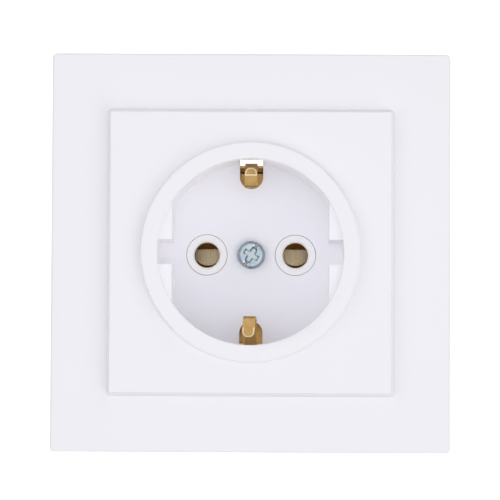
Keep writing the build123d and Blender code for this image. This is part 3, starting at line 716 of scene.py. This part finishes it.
studio = {
    "floorMm": -500.0,
    "floorEdgeMm": -110.0,
    "backdropMm": 1500.0,
    "widthMm": 9000.0,
    "sweepMm": 500.0,
    "sweepSteps": 12,
    "topMm": 3000.0,
    "card": "#FAFAFA",
    "glow": 0.35,
    "softRings": [
        # soft boxes in rings round the view: degrees away from straight in front, start and full edge,
        # colour, and the strength at each clock angle from the right
        {"away": 0, "start": 0.9, "full": 0.99, "colour": "#D5E2FF", "clock": {0: 1.65}},
        {"away": 40, "start": 0.75, "full": 0.97, "colour": "#FFFEFD",
         "clock": {0: 0.52, 180: 1.14, 225: 0.15, 315: 0.83}},
        {"away": 74, "start": 0.75, "full": 0.97, "colour": "#FFFAF4",
         "clock": {45: 1.02, 90: 0.2, 135: 0.82, 225: 0.42, 315: 0.98}},
    ],
    "metalTent": 0.3,
    "metalPatches": {
        "low": ((0.25, -0.85, -0.5), 0.6, 0.95, 0.6),
        "front": ((0.05, -1.0, -0.1), 0.9, 0.99, 0.7),
        "high": ((-0.15, -0.8, 0.6), 0.6, 0.95, 0.6),
        "cameraOpening": ((0.0, -1.0, 0.0), 0.985, 0.996, -0.3),
        "behind": ((0.0, 1.0, 0.0), -0.05, 0.25, 0.7),
    },
}


def makeStage(s):
    # One pale sheet: a floor that curves up into a backdrop behind the object
    material, tree, output = newMaterial("paleCard")
    rays = addNode(tree, "ShaderNodeLightPath")
    seen = addNode(tree, "ShaderNodeMath", {"0": rays.outputs["Is Camera Ray"],
                                           "1": rays.outputs["Is Glossy Ray"]}, operation="MAXIMUM")
    card = addNode(tree, "ShaderNodeBsdfDiffuse", Color=toLinear(s["card"]))
    glow = addNode(tree, "ShaderNodeEmission", Color=toLinear("#FFFFFF"), Strength=s["glow"])
    both = addNode(tree, "ShaderNodeAddShader", {"0": card.outputs[0], "1": glow.outputs[0]})
    choose = addNode(tree, "ShaderNodeMixShader", {"Fac": seen.outputs[0], "1": card.outputs[0],
                                                   "2": both.outputs[0]})
    tree.links.new(choose.outputs[0], output.inputs[0])
    mesh = bpy.data.meshes.new("studioSheet")
    half = s["widthMm"] * mm / 2
    floorZ = s["floorMm"] * mm
    back = s["backdropMm"] * mm
    radius = s["sweepMm"] * mm
    profile = [(s["floorEdgeMm"] * mm, floorZ)]
    for step in range(s["sweepSteps"] + 1):
        angle = math.pi / 2 * step / s["sweepSteps"]
        profile.append((back - radius * (1 - math.sin(angle)), floorZ + radius * (1 - math.cos(angle))))
    profile.append((back, s["topMm"] * mm))
    verts = [(x, y, z) for y, z in profile for x in (-half, half)]
    faces = [(2 * i, 2 * i + 1, 2 * i + 3, 2 * i + 2) for i in range(len(profile) - 1)]
    mesh.from_pydata(verts, [], faces)
    mesh.shade_smooth()
    mesh.materials.append(material)
    sheet = bpy.data.objects.new("studioSheet", mesh)
    scene.collection.objects.link(sheet)


def addPatch(tree, below, patch):
    # Adds a soft round patch of the sky to the strength that comes in
    direction, start, full, strength = patch
    place = addNode(tree, "ShaderNodeTexCoord").outputs["Generated"]
    dot = addNode(tree, "ShaderNodeVectorMath", {"0": place}, operation="DOT_PRODUCT")
    dot.inputs[1].default_value = Vector(direction).normalized()
    inside = addNode(tree, "ShaderNodeMapRange", {"Value": dot.outputs["Value"]},
                     interpolation_type="SMOOTHSTEP")
    inside.inputs["From Min"].default_value = start
    inside.inputs["From Max"].default_value = full
    total = addNode(tree, "ShaderNodeMath", {"0": inside.outputs["Result"], "2": below},
                    operation="MULTIPLY_ADD")
    total.inputs[1].default_value = strength
    return total.outputs[0]


def makeSky(tree, tent, patches, colour):
    strength = tent
    for patch in patches:
        strength = addPatch(tree, strength, patch)
    sky = addNode(tree, "ShaderNodeBackground", {"Strength": strength})
    sky.inputs["Color"].default_value = toLinear(colour)
    return sky.outputs[0]


def ringPatches(ring):
    away = math.radians(ring["away"])
    for clock, strength in ring["clock"].items():
        turn = math.radians(clock)
        direction = (math.sin(away) * math.cos(turn), -math.cos(away), math.sin(away) * math.sin(turn))
        yield direction, ring["start"], ring["full"], strength


def makeLight(s):
    # A light tent, brighter in front and low on the right; polished metal sees it with more contrast
    world = bpy.data.worlds.new("lightTent")
    scene.world = world
    world.use_nodes = True
    tree = world.node_tree
    tree.nodes.clear()
    output = addNode(tree, "ShaderNodeOutputWorld")
    rays = addNode(tree, "ShaderNodeLightPath")
    soft = None
    for ring in s["softRings"]:
        sky = makeSky(tree, 0.0, ringPatches(ring), ring["colour"])
        soft = addNode(tree, "ShaderNodeAddShader", {"0": soft, "1": sky}).outputs[0] if soft else sky
    crisp = makeSky(tree, s["metalTent"], s["metalPatches"].values(), "#FFFFFF")
    tent = addNode(tree, "ShaderNodeMixShader", {"Fac": rays.outputs["Is Glossy Ray"],
                                                 "1": soft, "2": crisp})
    white = addNode(tree, "ShaderNodeBackground", Strength=1.0)
    white.inputs["Color"].default_value = toLinear("#FFFFFF")
    choose = addNode(tree, "ShaderNodeMixShader", {"Fac": rays.outputs["Is Camera Ray"],
                                                   "1": tent.outputs[0], "2": white.outputs[0]})
    tree.links.new(choose.outputs[0], output.inputs[0])


makeStage(studio)
makeLight(studio)
scene.view_settings.view_transform = "Standard"
# Light finds its way into the white well only over many bounces
scene.cycles.diffuse_bounces = 12
scene.cycles.glossy_bounces = 12
scene.cycles.max_bounces = 16
print("stage and light set")
